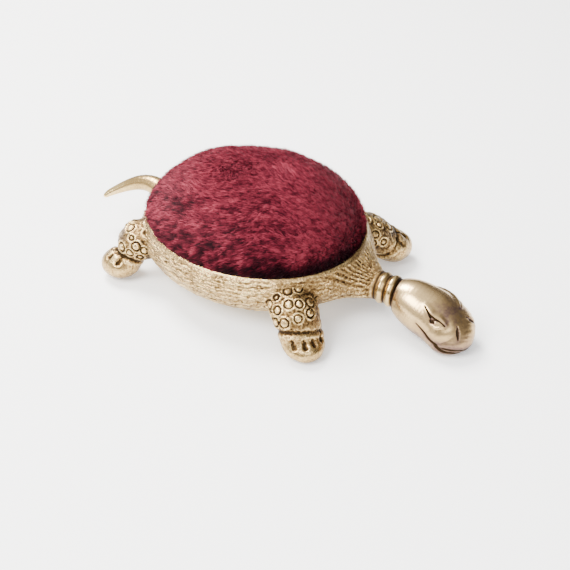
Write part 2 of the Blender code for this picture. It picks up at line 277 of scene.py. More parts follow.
def new_piece(name, points, faces, material):
    """A mesh object from sculpting points in millimetres and one array of quads or triangles."""
    faces = np.asarray(faces, np.int32)
    mesh = bpy.data.meshes.new(name)
    mesh.vertices.add(len(points))
    mesh.vertices.foreach_set("co", to_frame(points).astype(np.float32).ravel())
    mesh.loops.add(faces.size)
    mesh.loops.foreach_set("vertex_index", faces.ravel())
    mesh.polygons.add(len(faces))
    mesh.polygons.foreach_set("loop_start", np.arange(len(faces), dtype=np.int32) * faces.shape[1])
    mesh.update(calc_edges=True)
    mesh.validate()
    return add_mesh(name, mesh, material)


def vertex_places(obj):
    return np.array([vertex.co for vertex in obj.data.vertices])


def store(obj, **attributes):
    """Keeps a number or a vector for each vertex, for the material to read."""
    for name, values in attributes.items():
        values = np.asarray(values, np.float32)
        kind, field = ("FLOAT", "value") if values.ndim == 1 else ("FLOAT_VECTOR", "vector")
        obj.data.attributes.new(name, kind, "POINT").data.foreach_set(field, values.ravel())


def point_normals(points, quads):
    first, second = points[quads[:, 2]] - points[quads[:, 0]], points[quads[:, 3]] - points[quads[:, 1]]
    face = np.cross(first, second)
    total = np.zeros_like(points)
    for corner in range(4):
        for axis in range(3):
            total[:, axis] += np.bincount(quads[:, corner], face[:, axis], len(points))
    return total / np.maximum(np.linalg.norm(total, axis=1), 1e-9)[:, None]


def relaxed(points, quads, times):
    """The points after moving each towards the middle of its neighbours."""
    first = quads.ravel()
    second = np.roll(quads, 1, axis=1).ravel()
    count = np.bincount(first, minlength=len(points)) + np.bincount(second, minlength=len(points))
    for _ in range(times):
        total = np.zeros_like(points)
        for axis in range(3):
            total[:, axis] = (np.bincount(first, points[second, axis], len(points))
                              + np.bincount(second, points[first, axis], len(points)))
        points = 0.5 * points + 0.5 * total / count[:, None]
    return points


def hollows(points, quads, reach_times=10, depth=0.22):
    """From -1 on worn crests to 1 deep in the recesses, where patina gathers."""
    normals = point_normals(points, quads)
    gap = ((relaxed(points, quads, reach_times) - points) * normals).sum(1)
    return np.clip(gap / depth, -1, 1)


# ---- materials

def set_input(tree, entry, value):
    """Links another node's output to an input, or gives the input a plain value."""
    if isinstance(value, bpy.types.NodeSocket):
        tree.links.new(value, entry)
    else:
        entry.default_value = value


def add_node(tree, kind, *values, **settings):
    """A shader node. Values go to its inputs in turn, and settings to inputs or properties by name."""
    node = tree.nodes.new("ShaderNode" + kind)
    for name, value in settings.items():
        if name in node.inputs:
            set_input(tree, node.inputs[name], value)
        else:
            setattr(node, name, value)
    for entry, value in zip(node.inputs, values):
        set_input(tree, entry, value)
    return node


def set_shader(tree, entries):
    """Gives inputs of a material's Principled shader their plain values or linked outputs."""
    for name, value in entries.items():
        set_input(tree, tree.nodes["Principled BSDF"].inputs[name], value)


def new_material(name, metallic=0.0, roughness=0.5):
    material = bpy.data.materials.new(name)
    material.use_nodes = True
    set_shader(material.node_tree, {"Metallic": metallic, "Roughness": roughness})
    return material, material.node_tree


def add_noise(tree, vector, scale, detail=4.0, roughness=0.55):
    node = add_node(tree, "TexNoise", Vector=vector, Scale=scale, Detail=detail, Roughness=roughness)
    return node.outputs["Fac"]


def add_ramp(tree, factor, stops):
    """Colours or greys along a factor, from (place, colour or grey) stops."""
    node = add_node(tree, "ValToRGB", Fac=factor)
    elements = node.color_ramp.elements
    while len(elements) < len(stops):
        elements.new(0.5)
    for element, (place, colour) in zip(elements, stops):
        element.position = place
        element.color = (*colour, 1.0) if isinstance(colour, tuple) else (colour, colour, colour, 1.0)
    return node.outputs["Color"]


def add_math(tree, operation, *values):
    return add_node(tree, "Math", *values, operation=operation).outputs[0]


def add_vector_math(tree, operation, *values):
    node = add_node(tree, "VectorMath", *values, operation=operation)
    return node.outputs["Value" if operation in ("LENGTH", "DOT_PRODUCT") else "Vector"]


def add_sum(tree, *terms):
    """A weighted sum of outputs, from (output, weight) pairs and plain numbers."""
    total = 0.0
    for term in terms:
        value, weight = term if isinstance(term, tuple) else (term, 1.0)
        total = add_math(tree, "MULTIPLY_ADD", value, weight, total)
    return total


def add_bump(tree, height, strength, distance):
    node = add_node(tree, "Bump", Height=height, Strength=strength, Distance=distance)
    set_shader(tree, {"Normal": node.outputs["Normal"]})


def object_place(tree):
    return add_node(tree, "TexCoord").outputs["Object"]


def read_value(tree, name, output="Fac"):
    return add_node(tree, "Attribute", attribute_name=name).outputs[output]


GOLD_PALE = (0.80, 0.59, 0.28)
GOLD = (0.45, 0.305, 0.125)
GOLD_BROWN = (0.20, 0.115, 0.042)
PATINA = (0.028, 0.016, 0.007)


def cast_gold():
    """Antique gold plate on an engraved casting: pale crests, brown in the recesses, a fine wavy grain."""
    material, tree = new_material("cast_gold_looks", 1.0)
    place = object_place(tree)
    along_rim = add_vector_math(tree, "MULTIPLY", read_value(tree, "rim_place", "Vector"), (0.6, 3.3, 3.3))
    wave = add_sum(tree, (add_noise(tree, along_rim, 1.0, 5.0, 0.62), 1.0), -0.5)
    grain = add_math(tree, "MULTIPLY", wave, read_value(tree, "engraved"))
    pitting = add_sum(tree, (add_noise(tree, place, 1500.0, 5.0, 0.65), 1.0), -0.5)
    fine = add_math(tree, "MULTIPLY", pitting, read_value(tree, "stipple"))
    blotch = add_noise(tree, place, 130.0, 3.0)
    # The first term reads patina in the recesses, soot in the grooves and painted shade in the gap at the
    # collar's end.
    dirt_and_painted_shade = add_sum(tree, (read_value(tree, "hollow"), 0.55), (grain, -2.2), (fine, -2.1), (blotch, 0.7), 0.09)
    colour = add_ramp(tree, dirt_and_painted_shade, [(0.0, GOLD_PALE), (0.34, GOLD), (0.62, GOLD_BROWN), (0.95, PATINA)])
    set_shader(tree, {"Base Color": colour,
                      "Roughness": add_ramp(tree, dirt_and_painted_shade, [(0.0, 0.13), (0.5, 0.29), (1.0, 0.58)])})
    add_bump(tree, add_sum(tree, (grain, 1.0), (fine, 0.55)), 0.9, 0.0004)
    return material


def polished_gold():
    """The same plate buffed smooth, with handling marks and a tarnished patch on the brow."""
    material, tree = new_material("polished_gold_looks", 1.0)
    place = object_place(tree)
    smudge = add_noise(tree, place, 260.0, 4.0, 0.6)
    speck = add_noise(tree, place, 1700.0, 3.0, 0.7)
    # The first term reads patina in the recesses, soot in the creases, painted shade in the gap at the head's
    # back and painted shade towards the bottom of the head.
    dirt_and_painted_shade = add_sum(tree, (read_value(tree, "hollow"), 0.80), (read_value(tree, "tarnish"), 0.46),
                   (smudge, 0.40), (speck, 0.24), -0.20)
    colour = add_ramp(tree, dirt_and_painted_shade, [(0.0, (0.66, 0.46, 0.22)), (0.30, (0.44, 0.295, 0.135)),
                                   (0.60, (0.16, 0.10, 0.078)), (0.95, PATINA)])
    set_shader(tree, {"Base Color": colour,
                      "Roughness": add_ramp(tree, dirt_and_painted_shade, [(0.0, 0.24), (0.4, 0.33), (1.0, 0.55)])})
    add_bump(tree, add_sum(tree, (smudge, 0.5), (speck, 0.25)), 0.35, 0.00012)
    return material


def velvet_pile():
    """Crimson pile: near black at the roots as painted shade deep among the fibres, rosy at the tips, each
    tuft a little different.
    """
    material, tree = new_material("velvet_pile_looks", 0.0, 0.55)
    shade = read_value(tree, "shade")
    colour = add_ramp(tree, shade, [(0.0, (0.008, 0.0008, 0.0024)), (0.35, (0.048, 0.0034, 0.0088)),
                                    (0.65, (0.138, 0.0125, 0.0245)), (1.0, (0.32, 0.044, 0.068))])
    set_shader(tree, {"Base Color": colour, "Specular IOR Level": 0.08, "Sheen Weight": 0.05,
                      "Sheen Roughness": 0.35, "Sheen Tint": (0.95, 0.25, 0.34, 1.0)})
    return material


def velvet_ground():
    """The woven ground under the pile."""
    material, tree = new_material("velvet_ground_looks", 0.0, 0.9)
    place = object_place(tree)
    weave = add_noise(tree, place, 1600.0, 3.0)
    patch = add_noise(tree, place, 140.0, 3.0)
    colour = add_ramp(tree, add_sum(tree, (weave, 0.5), (patch, 0.5)),
                      [(0.25, (0.016, 0.001, 0.004)), (0.75, (0.105, 0.006, 0.018))])
    set_shader(tree, {"Base Color": colour, "Sheen Weight": 0.4})
    add_bump(tree, weave, 0.6, 0.0003)
    return material


def sheet_metal(name, light, dark, roughness, brush_axis):
    """Rolled sheet or turned stock: brush lines along one axis and a few stains."""
    material, tree = new_material(name, 1.0, roughness)
    place = object_place(tree)
    across = [2600.0, 2600.0, 2600.0]
    across[brush_axis] = 90.0
    brush = add_noise(tree, add_vector_math(tree, "MULTIPLY", place, across), 1.0, 3.0)
    stain = add_noise(tree, place, 160.0, 5.0)
    tone = add_sum(tree, (brush, 0.45), (stain, 0.65))
    rough = add_ramp(tree, tone, [(0.3, roughness + 0.18), (0.8, roughness - 0.08)])
    set_shader(tree, {"Base Color": add_ramp(tree, tone, [(0.35, dark), (0.72, light)]), "Roughness": rough})
    add_bump(tree, brush, 0.25, 0.00006)
    return material


def fibrous(name, light, dark, scale, sheen):
    """Card, wadding or thread: short fibres in two tones."""
    material, tree = new_material(name, 0.0, 0.9)
    drawn_out = add_vector_math(tree, "MULTIPLY", object_place(tree), (scale, scale * 2.4, scale))
    fibre = add_noise(tree, drawn_out, 1.0, 5.0, 0.7)
    colour = add_ramp(tree, fibre, [(0.3, dark), (0.7, light)])
    set_shader(tree, {"Base Color": colour, "Sheen Weight": sheen})
    add_bump(tree, fibre, 0.7, 0.0003)
    return material


def stripe(tree, place, period, width):
    """1 on a mark of the given width at every period along a coordinate, else 0."""
    part = add_math(tree, "FRACT", add_math(tree, "MULTIPLY", place, 1 / period))
    return add_math(tree, "LESS_THAN", part, width / period)


# The tape's divisions: how far apart, how thick and how long, in metres
DIVISIONS = ((0.001, 0.00014, 0.0013), (0.005, 0.0002, 0.0022), (0.01, 0.0003, 0.0036))


def printed_tape():
    """Cream coated cloth with millimetre, half-centimetre and centimetre divisions from the upper edge."""
    material, tree = new_material("printed_tape_looks", 0.0, 0.45)
    place = object_place(tree)
    axes = add_node(tree, "SeparateXYZ", place)
    top = (NECK_Z + TAPE_WIDTH / 2) * MM
    ink = 0.0
    for period, width, length in DIVISIONS:
        high = add_math(tree, "GREATER_THAN", axes.outputs["Z"], top - length)
        mark = add_math(tree, "MULTIPLY", stripe(tree, axes.outputs["X"], period, width), high)
        ink = add_math(tree, "MAXIMUM", ink, mark)
    weave = add_noise(tree, place, 2200.0, 2.0)
    cloth = add_ramp(tree, weave, [(0.3, (0.66, 0.58, 0.38)), (0.7, (0.84, 0.77, 0.56))])
    mix = add_node(tree, "Mix", data_type="RGBA", Factor=ink, A=cloth, B=(0.02, 0.018, 0.016, 1.0))
    set_shader(tree, {"Base Color": mix.outputs["Result"]})
    add_bump(tree, weave, 0.3, 0.0001)
    return material


def wound_tape():
    """The edges of the tape's turns, seen on the coil's flat sides, and cloth on its rim."""
    material, tree = new_material("wound_tape_looks", 0.0, 0.6)
    place = object_place(tree)
    middle = to_frame((COIL[0] + COIL[1]) / 2)
    outward = add_vector_math(tree, "SUBTRACT", place, (middle[0], middle[1], 0.0))
    radius = add_vector_math(tree, "LENGTH", add_vector_math(tree, "MULTIPLY", outward, (1.0, 1.0, 0.0)))
    edge = stripe(tree, radius, 0.00022, 0.00007)
    tone = add_sum(tree, (edge, -0.5), (add_noise(tree, place, 1800.0, 3.0), 0.4), 0.5)
    colour = add_ramp(tree, tone, [(0.1, (0.20, 0.16, 0.09)), (0.7, (0.80, 0.73, 0.52))])
    set_shader(tree, {"Base Color": colour})
    add_bump(tree, tone, 0.4, 0.0001)
    return material


# ---- the body casting

# Stations along each limb: x, y, z, half width, half height
FRONT_LEG = [(19.6, -18.0, 12.2, 5.8, 4.2), (24.2, -21.0, 13.0, 6.6, 4.9), (27.6, -23.4, 11.4, 7.0, 5.1),
             (30.2, -25.0, 8.0, 6.7, 4.6), (32.0, -26.2, 4.8, 6.6, 4.0), (33.8, -27.3, 3.4, 6.1, 3.4),
             (35.4, -28.4, 2.9, 4.5, 2.9)]
FRONT_LEFT_LEG = [(19.6, 18.4, 12.2, 5.8, 4.3), (24.0, 21.6, 13.2, 6.4, 4.9), (27.4, 24.4, 11.9, 6.7, 5.2),
                  (29.8, 26.8, 8.9, 6.4, 5.2), (31.8, 28.6, 6.4, 6.5, 5.4), (33.2, 30.2, 5.3, 6.4, 5.3),
                  (34.4, 31.2, 4.8, 5.0, 4.8)]
REAR_LEG = [(-19.0, -14.4, 12.2, 5.6, 4.2), (-25.0, -17.4, 13.2, 6.1, 5.2), (-29.8, -19.8, 12.7, 6.7, 6.4),
            (-32.2, -21.4, 8.8, 4.9, 4.6), (-33.6, -22.6, 5.4, 5.6, 4.6), (-35.2, -23.8, 4.7, 6.0, 4.7),
            (-36.8, -24.5, 4.4, 4.6, 4.3)]
NECK = [(28.0, 0, 13.6, 17.0, 6.2), (32.5, 0, 13.3, 12.4, 6.1), (36.2, 0, 12.8, 8.8, 5.4),
        (39.4, 0, 12.2, 6.0, 4.7), (42.0, 0, NECK_Z + 0.4, 4.6, 4.3), (43.6, 0, NECK_Z, 4.0, 4.0)]
TAIL = [(-31.5, 1.0, 13.6, 4.8, 3.8), (-36.5, 2.0, 16.2, 3.8, 3.4), (-41.0, 2.6, 17.4, 3.1, 2.9),
        (-45.5, 2.2, 17.0, 2.6, 2.5), (-49.6, 0.8, 15.5, 2.1, 2.0), (-53.2, -1.2, 13.6, 1.6, 1.5),
        (-55.4, -2.8, 12.3, 1.25, 1.15), (TAIL_TIP + 1.2, -3.9, 11.6, 0.85, 0.8)]
# The skirt's outline: height, radius
SKIRT = [(RIM_TOP + 1.0, 34.9), (RIM_TOP - 0.2, 35.2), (18.6, 36.1), (16.4, 36.7), (14.2, 36.7), (12.0, 36.0),
         (9.6, 34.5), (7.6, 32.5), (SKIRT_LOW, 30.4), (SKIRT_LOW - 1.5, 29.4)]
# The neck's two rings: how far along x, radius
COLLAR = [(42.4, 4.3), (43.2, 4.2), (43.7, 4.55), (44.5, 4.9), (45.3, 4.6), (45.75, 4.25), (46.2, 4.2),
          (46.6, 4.55), (47.3, 4.95), (48.1, 4.8), (48.6, 4.45), (COLLAR_END + 0.3, 4.3)]
RING_GAPS = (43.1, 46.0)
TOE_COUNT = 5
TOE_GAP = 2.5
ANKLE = 3  # stations of a leg
SOLE = 5
LEG_REACH = 26.0  # a leg's engraving ends within this distance of its thigh
OVAL_SCALE = 0.93  # turns a difference of oval radii into a distance, on average


def mirrored(stations):
    return [(x, -y, *rest) for x, y, *rest in stations]


def interpolated(pairs, per_gap=6):
    """A function through (place, value) pairs, made smooth."""
    rows = flowing(pairs, per_gap)
    rows = rows[np.argsort(rows[:, 0])]
    return lambda values: np.interp(values, rows[:, 0], rows[:, 1])


def bowl(x, y, z):
    """The skirt's outside, from the lip to the table side, as if solid."""
    outside = (oval_radius(x, y) - interpolated(SKIRT)(z)) * OVAL_SCALE
    outside = smooth_both(outside, z - RIM_TOP, 0.9)
    return smooth_both(outside, SKIRT_LOW - z, 0.6)


def cavity(x, y, z):
    """The room for the base plate, the tape case and, above the ledge, the cushion."""
    ledge = BOARD[0][2] - 1.3
    plate_top = PLATE[1][2] + 0.3
    plate_edge = PLATE[1][0] + 0.3
    wall = [(0.0, plate_edge), (plate_top, plate_edge), (plate_top + 0.01, plate_edge - 2.7),
            (plate_top + 1.3, plate_edge - 2.7), (plate_top + 1.5, 30.0), (10.0, 32.2), (12.5, 33.8),
            (ledge - 2.4, 34.1), (ledge - 1.4, 31.5), (ledge, 31.5), (ledge + 0.01, OPENING), (99.0, OPENING)]
    heights, radii = zip(*wall)
    return (oval_radius(x, y) - np.interp(z, heights, radii)) * OVAL_SCALE


def collar(x, y, z):
    radius = np.sqrt(y**2 + (z - NECK_Z) ** 2)
    side = radius - interpolated(COLLAR)(x)
    ends = np.maximum(COLLAR[0][0] - 1 - x, x - COLLAR_END - 0.2)
    return smooth_both(side, ends + 0 * side, 0.35)


def settled(points, shape):
    """The points moved straight onto a shape's surface."""
    points = np.array(points, float)
    nudge = 0.05
    for _ in range(6):
        depth = shape(*points.T)
        slope = np.stack([(shape(*(points + nudge * step).T) - depth) / nudge for step in np.eye(3)], 1)
        points = points - slope * (depth / np.maximum((slope**2).sum(1), 1e-6))[:, None]
    return points


def surface_thread(line, radii, shape, sink=0.0):
    """Stations for a round groove or ridge that follows the surface, sunk by a little."""
    rows = flowing([(*point, radius) for point, radius in zip(line, radii)], 5)
    on_skin = settled(rows[:, :3], shape)
    inner = settled(on_skin, lambda x, y, z: shape(x, y, z) + sink)
    return [(*point, radius, radius) for point, radius in zip(inner, np.maximum(rows[:, 3], 0.05))]


def soot_along(points, threads, spread):
    """1 on any of the grooves, falling off to the sides within the groove's own radius and a spread."""
    rows = np.concatenate([flowing(thread, 6)[:, :4] for thread in threads])
    soot = np.zeros(len(points))
    near = np.flatnonzero(((points > rows[:, :3].min(0) - 2) & (points < rows[:, :3].max(0) + 2)).all(1))
    distance, which = nearest(points[near], rows[:, :3])
    soot[near] = np.exp(-(distance / (rows[which, 3] + spread)) ** 2)
    return soot


def foot_axes(stations):
    """Where a foot's toes start, and the level directions along and across it."""
    ankle, sole = np.array(stations[ANKLE][:3]), np.array(stations[SOLE][:3])
    along = (sole - ankle) * (1, 1, 0)
    along = along / np.linalg.norm(along)
    return sole, along, np.array([-along[1], along[0], 0.0])


def toe_grooves(stations):
    """The cuts between the toes: short wedges that widen down the front of the paw."""
    sole, along, across = foot_axes(stations)
    top = stations[SOLE][2] + stations[SOLE][4]
    grooves = []
    for i in range(TOE_COUNT - 1):
        side = (i - (TOE_COUNT - 2) / 2) * TOE_GAP
        back = 0.16 * side**2
        uneven = 0.5 * math.sin(5.0 * i + stations[0][0])
        steps = [(0.95, 0.6 + uneven, top - 0.2), (1.0, 1.7, top - 0.8),
                 (1.03, 2.8 + 0.5 * uneven, top * 0.72)]
        line = [sole + across * side * spread + along * (onward - back) + (0, 0, height - sole[2])
                for spread, onward, height in steps]
        grooves.append(surface_thread(line, (0.12, 0.50, 0.74), limb(stations)))
    return grooves


LEGS = {"front_right": FRONT_LEG, "front_left": FRONT_LEFT_LEG, "rear_right": REAR_LEG,
        "rear_left": mirrored(REAR_LEG)}
TOE_GROOVES = {name: toe_grooves(stations) for name, stations in LEGS.items()}


def tape_slot(x, y, z):
    """The slot that the tape runs in, from the tape case to where its end is held in the head."""
    slot = np.maximum(np.abs(y) - SLOT_HALF_WIDTH, np.abs(z - NECK_Z) - SLOT_HALF_HEIGHT)
    return np.maximum(np.maximum(slot, 28.0 - x), x - STRIP[1][0] - 0.6)


def screw_post(number):
    """The shapes of a screw's post inside the casting and of the hole in it."""
    low, high = box_mm(f"base_screw_{number}")
    middle = (low + high) / 2

    def post(x, y, z):
        return np.maximum(np.hypot(x - middle[0], y - middle[1]) - 2.6, np.abs(z - 10.2) - 2.8)

    def hole(x, y, z):
        return np.maximum(np.hypot(x - middle[0], y - middle[1]) - 1.3, z - high[2] - 0.5)

    return post, hole


def sculpt_body():
    margin = 1.5
    clay = Clay(CASTING[0] - margin, CASTING[1] + margin, CASTING_STEP, bowl)
    for name, stations in LEGS.items():
        clay.combine(smooth_union, limb(stations), 1.6, reach(stations, 3.0))
        for groove in TOE_GROOVES[name]:
            clay.combine(smooth_cut, limb(groove, 1), 0.5, reach(groove, 1.5))
    clay.combine(smooth_union, limb(NECK), 3.0, reach(NECK, 3.0))
    clay.combine(smooth_union, limb(TAIL), 2.2, reach(TAIL, 2.5))
    collar_box = [(COLLAR[0][0] - 1, -5, NECK_Z - 5), (COLLAR_END, 5, NECK_Z + 5)]
    clay.combine(smooth_union, collar, 0.3, reach(collar_box, 0.5))
    clay.combine(smooth_cut, cavity, 0.25)
    clay.combine(smooth_cut, tape_slot, 0.1)
    for number in (1, 2, 3):
        post, hole = screw_post(number)
        clay.combine(smooth_union, post, 0.3)
        clay.combine(smooth_cut, hole, 0.1)
    clay.combine(smooth_both, lambda x, y, z: -z, 0.3)
    return clay.skin()


# Button scales: their rows from the top of the thigh, their spacing, and the radii of their parts
FIRST_ROW = 3.6
ROW_GAP = 2.75
BARE_END = 9.6
SCALE_SPACING = 3.3
LEAST_SPACING = 2.75
BUTTON_RADIUS = 1.12
MOAT_RADIUS = 1.30
RING_RADIUS = 1.72


def boss_centres(stations):
    """Staggered rows of button scales over the upper side of a thigh."""
    rows = flowing(stations, 12)
    steps = np.linalg.norm(np.diff(rows[:, :3], axis=0), axis=1)
    travelled = np.concatenate([[0], np.cumsum(steps)])
    centres = []
    for row, distance in enumerate(np.arange(FIRST_ROW, travelled[-1] - BARE_END, ROW_GAP)):
        i = int(np.searchsorted(travelled, distance))
        _, across, up = cross_axes(rows[i + 1, :3] - rows[i, :3])
        wide, tall = rows[i, 3:]
        spacing = SCALE_SPACING / ((wide + tall) / 2)
        first = 0.5 * spacing if row % 2 else 0.0
        for k in range(-4, 5):
            turn = math.pi / 2 + first + k * spacing
            if -0.35 < turn < math.pi + 0.35:
                stray = 0.60 * np.sin(np.array([7.0, 5.0, 3.0]) * (row + 1.7 * k))
                centre = rows[i, :3] + across * wide * math.cos(turn) + up * tall * math.sin(turn) + stray
                if all(np.linalg.norm(centre - other) > LEAST_SPACING for other in centres):
                    centres.append(centre)
    return np.array(centres)


def boss_height(distance):
    """Across a button scale: a domed button, a moat round it and a raised ring."""
    button = 0.42 * np.sqrt(np.clip(1 - (distance / BUTTON_RADIUS) ** 2, 0, 1))
    return button - 0.42 * bell(distance, MOAT_RADIUS, 0.24) + 0.34 * bell(distance, RING_RADIUS, 0.22)


def engrave_leg(points, stations):
    """A leg's button scales, ankle strap and pitted skin.

    Returns the numbers of the points that it reaches and, for each, how far the point moves out, its soot,
    and how far it is on the leg and on the paw."""
    x, y = points.T[:2]
    inside = np.flatnonzero(np.abs(x - stations[2][0]) + np.abs(y - stations[2][1]) < LEG_REACH)
    skin = points[inside]
    on_leg = 1 - smooth_step(0.1, 1.0, limb(stations)(*skin.T))
    distance, which = nearest(skin, boss_centres(stations))
    distance *= 1 + 0.10 * np.sin(2.4 * which)
    wear = 0.75 + 0.25 * np.sin(4.1 * which + 1.0)
    moat = wear * bell(distance, MOAT_RADIUS, 0.32)
    between = smooth_step(1.9, 2.3, distance) * (1 - smooth_step(3.0, 4.5, distance))
    before, ankle, after = (np.array(station[:3]) for station in stations[ANKLE - 1:ANKLE + 2])
    down = (after - before) / np.linalg.norm(after - before) - (0.3 * np.sign(ankle[0]), 0, 0)
    past = (skin - ankle) @ down
    close = np.exp(-(np.linalg.norm(skin - ankle, axis=1) / 8.5) ** 6)
    groove = close * bell(past, 0.9, 0.60)
    strap = close * 0.35 * bell(past, 2.1, 0.75) - 0.45 * groove
    pitted = 0.09 * layered_noise(skin / 0.9, 31) * (1 - smooth_step(1.0, 2.5, past))
    move = on_leg * (wear * boss_height(distance) + strap + pitted)
    soot = on_leg * (0.12 + 0.85 * moat + 0.45 * between + 0.42 * groove)
    return inside, move, soot, on_leg, on_leg * smooth_step(2.5, 5.0, past)


def engrave(points, quads):
    """Moves the casting's skin to cut its grain, scales and neck lines.

    Returns the points, their soot, how much grain each has, its place along the grain and its stipple."""
    x, y, z = points.T
    radius = oval_radius(x, y)
    move, soot, plain, on_paws = np.zeros((4, len(points)))
    for name, stations in LEGS.items():
        inside, leg_move, leg_soot, on_leg, on_paw = engrave_leg(points, stations)
        move[inside] += leg_move
        soot[inside] += leg_soot
        soot += 0.9 * soot_along(points, TOE_GROOVES[name], 0.10)
        plain[inside] = np.maximum(plain[inside], on_leg)
        on_paws[inside] = np.maximum(on_paws[inside], on_paw)
    on_tail = 1 - smooth_step(0.0, 0.8, limb(TAIL)(x, y, z))
    on_collar = smooth_step(COLLAR[0][0] - 1.2, COLLAR[0][0] + 0.2, x)
    for ring_gap in RING_GAPS:
        soot += on_collar * bell(x, ring_gap, 0.35)
    grained = 1 - np.maximum(np.maximum(plain, on_tail), on_collar)
    skirt = smooth_step(-1.6, -0.4, radius - interpolated(SKIRT)(z)) * grained
    skirt *= smooth_step(0.6, 1.6, RIM_TOP - z)
    neck = smooth_step(24.0, 36.0, x) * (1 - on_collar) * grained * smooth_step(0.5, 1.4, RIM_TOP - z)
    around = np.arctan2(y / WIDTH_RATIO, x) * 34.0
    grain = layered_noise(np.stack([around / 2.6, z / 0.55 + 0.4 * np.sin(around / 4.0), radius], 1), 3)
    half_width = np.interp(x, [station[0] for station in NECK], [station[3] for station in NECK])
    lines = np.sin(y / half_width * 42.0 + 1.3 * lattice_noise(points / 3.0, 8))
    outside = smooth_step(-2.5, -1.0, radius - 34.0)
    move += 0.24 * grain * skirt * (1 - neck)
    move += (0.13 * lines + 0.12 * grain) * neck * outside
    soot += (0.12 + 0.12 * np.clip(-lines, 0, 1)) * neck
    rim_place = np.stack([around * (1 - neck) + x * neck, z, radius * (1 - neck) + 2 * y * neck], 1)
    stipple = 1 - 0.75 * np.maximum(on_tail, on_collar) - 0.55 * on_paws
    moved = points + point_normals(points, quads) * move[:, None]
    return moved, soot, np.clip(skirt + neck, 0, 1), rim_place, stipple


def make_body_casting():
    points, quads = sculpt_body()
    points, soot, engraved, rim_place, stipple = engrave(relaxed(points, quads, 1), quads)
    points[:, 2] = np.maximum(points[:, 2], 0.0)
    casting = new_piece("turtle_body", points, quads[:, ::-1], cast_gold())
    # Painted shade in the parting gap: the collar's end darkens towards the head.
    painted_gap_shade = smooth_step(COLLAR_END - 0.9, COLLAR_END - 0.1, points[:, 0])
    store(casting, hollow=hollows(points, quads) + 1.5 * painted_gap_shade + soot, engraved=engraved,
          rim_place=rim_place, stipple=stipple)
    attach(casting, "body")
    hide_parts("body_casting")


# ---- the head

HEAD = [(HEAD_BACK + 0.6, 0, NECK_Z - 0.3, 4.1, 3.9), (51.8, 0.1, 11.0, 5.8, 5.5),
        (54.4, 0.3, 10.1, 7.1, 6.9), (57.4, 0.4, 9.1, 7.9, 7.4), (60.6, 0.5, 8.1, 8.3, 7.5),
        (63.6, 0.2, 7.1, 8.5, 7.0), (66.0, -0.7, 6.1, 8.4, 6.1), (NOSE - 4.9, -3.0, 4.2, 6.7, 4.2)]
EYE = (64.3, 6.7, 11.3)
EYE_CORNER = [(62.8, 6.6, 12.2), (63.0, 7.0, 11.5), (63.6, 6.9, 11.2)]
UPPER_LID = [(59.8, 5.3, 14.2), (61.5, 6.1, 13.0), (62.9, 6.5, 12.3), (65.0, 5.9, 12.1), (67.6, 4.6, 11.7)]
LOWER_LID = [(63.2, 7.5, 10.6), (64.6, 7.3, 10.3), (66.2, 6.3, 10.9), (67.8, 4.9, 11.4)]
MOUTH = [(58.6, 8.1, 9.5), (62.3, 8.4, 7.2), (64.9, 8.3, 5.5), (66.9, 7.7, 4.1), (69.0, 6.4, 2.6),
         (71.2, 4.0, 1.9), (72.0, 0.0, 1.7)]
LIP_LINE = [(67.1, 7.8, 4.7), (69.4, 6.9, 4.4), (71.2, 5.0, 3.7), (72.4, 2.2, 3.2), (72.6, 0.0, 3.1)]
NOSTRIL = [(70.3, 2.5, 10.8), (71.2, 3.6, 9.3), (71.8, 4.4, 7.3)]
SNOUT_TURN = 1.6  # the nostrils sit this much to the left of the jaw's middle
TARNISH = (66.0, -1.8, 12.6)
TARNISH_REACH = (6.4, 6.4, 4.4)
TARNISH_LOW = 9.0


def both_sides(points):
    """The same line on the head's left and right. The head's middle swings a little to the right of +X."""
    rows = np.array(HEAD)
    middle = [float(np.interp(point[0], rows[:, 0], rows[:, 1])) for point in points]
    return [[(x, y * side + m, *rest) for (x, y, *rest), m in zip(points, middle)] for side in (1, -1)]


def face_creases(skull):
    """The dark cuts on both sides of the face: lids, eye corners, mouth, lip line and nostrils."""
    creases = []
    for line, radii, turn in ((UPPER_LID, (0.10, 0.36, 0.52, 0.22, 0.06), 0.0),
                              (MOUTH, (0.08, 0.30, 0.38, 0.46, 0.50, 0.44, 0.40), 0.0),
                              (LIP_LINE, (0.06, 0.20, 0.22, 0.20, 0.20), 0.0),
                              (NOSTRIL, (0.10, 0.46, 0.10), SNOUT_TURN),
                              (EYE_CORNER, (0.40, 0.68, 0.30), 0.0)):
        creases += [surface_thread(np.add(side, (0.0, turn, 0.0)), radii, skull) for side in both_sides(line)]
    return creases


def sculpt_face(clay, skull, creases):
    """Brows and lower lids raised, creases cut, and an eyeball in each eye."""
    for lid in both_sides(UPPER_LID):
        brow = surface_thread(np.add(lid, (0.0, 0.0, 1.0)), (0.3, 0.8, 0.9, 0.8, 0.3), skull, 0.45)
        clay.combine(smooth_union, limb(brow, 1), 1.2, reach(brow, 2.0))
    for crease in creases:
        clay.combine(smooth_cut, limb(crease, 1), 0.35, reach(crease, 1.5))
    for side in both_sides([EYE, np.add(EYE, (0.9, -0.3, 0.0))]):
        ball = surface_thread(side, (0.95, 0.75), skull, 0.55)
        clay.combine(smooth_union, limb(ball, 1), 0.15, reach(ball, 1.2))
    for lid in both_sides(LOWER_LID):
        ridge = surface_thread(lid, (0.15, 0.34, 0.36, 0.15), skull, 0.10)
        clay.combine(smooth_union, limb(ridge, 1), 0.35, reach(ridge, 1.5))


def sculpt_head():
    """The head's points, its quads and its dark creases."""
    margin = 1.2
    skull = limb(HEAD, 4)
    creases = face_creases(skull)
    clay = Clay(HEAD_BOX[0] - margin, HEAD_BOX[1] + margin, HEAD_STEP, skull)
    sculpt_face(clay, skull, creases)
    clay.combine(smooth_both, lambda x, y, z: HEAD_BACK - x, 0.5)
    clay.combine(smooth_cut, tape_slot, 0.1)
    return *clay.skin(), creases


